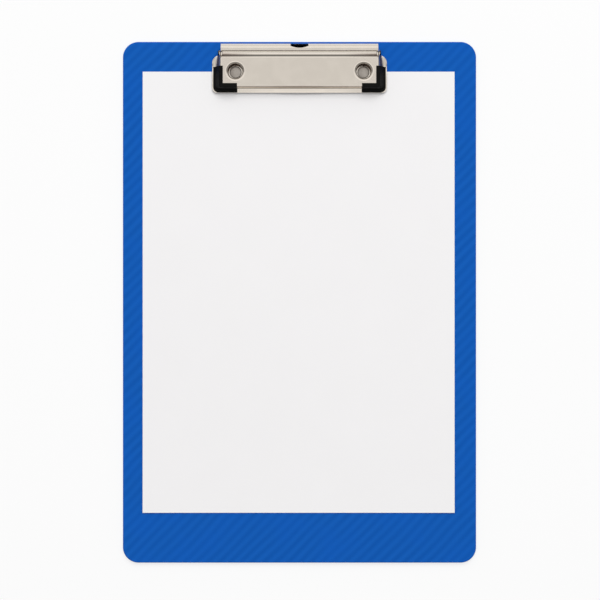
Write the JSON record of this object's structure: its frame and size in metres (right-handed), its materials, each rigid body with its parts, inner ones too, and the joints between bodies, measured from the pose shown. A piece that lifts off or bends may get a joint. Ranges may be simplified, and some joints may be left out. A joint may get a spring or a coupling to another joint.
{
  "type": "clipboard",
  "caption": "Flat clipboard with a low sprung clip along its top edge, rubber corner grips on the jaw and one plain sheet held under it.",
  "frame": {"origin": "middle of the board's underside", "axes": "+Z out of the writing face, +Y towards the clip end, +X to the right as the clip end is held up"},
  "size_m": [0.238, 0.351, 0.0119],
  "materials": {
    "board_plastic": "satin with soft diagonal ribs",
    "paper": "plain",
    "nickel_steel": "bright nickel plate",
    "rivet_nickel": "bright nickel plate",
    "black_steel": "blackened",
    "grip_rubber": "matt black"
  },
  "bodies": {
    "back": {"board": "board_plastic", "base_plate": "nickel_steel", "hinge_pin": "black_steel", "spring_left": "black_steel", "spring_right": "black_steel", "rivet_left": "rivet_nickel", "rivet_right": "rivet_nickel"},
    "jaw": {"jaw_plate": "nickel_steel", "corner_grip_left": "grip_rubber", "corner_grip_right": "grip_rubber"},
    "sheet": {"paper_sheet": "paper"}
  },
  "joints": [
    {"name": "jaw_hinge", "type": "hinge", "parent": "back", "child": "jaw", "pos_m": [0, 0.167, 0.0074], "axis": [-1, 0, 0], "range_deg": [0, 45], "stiffness_Nm_per_rad": 0.15, "springref_deg": -45.84, "deforming": ["spring_left", "spring_right"]},
    {"name": "sheet_slide", "type": "slide", "parent": "back", "child": "sheet", "axis": [0, -1, 0], "range_m": [0, 0.03]}
  ]
}
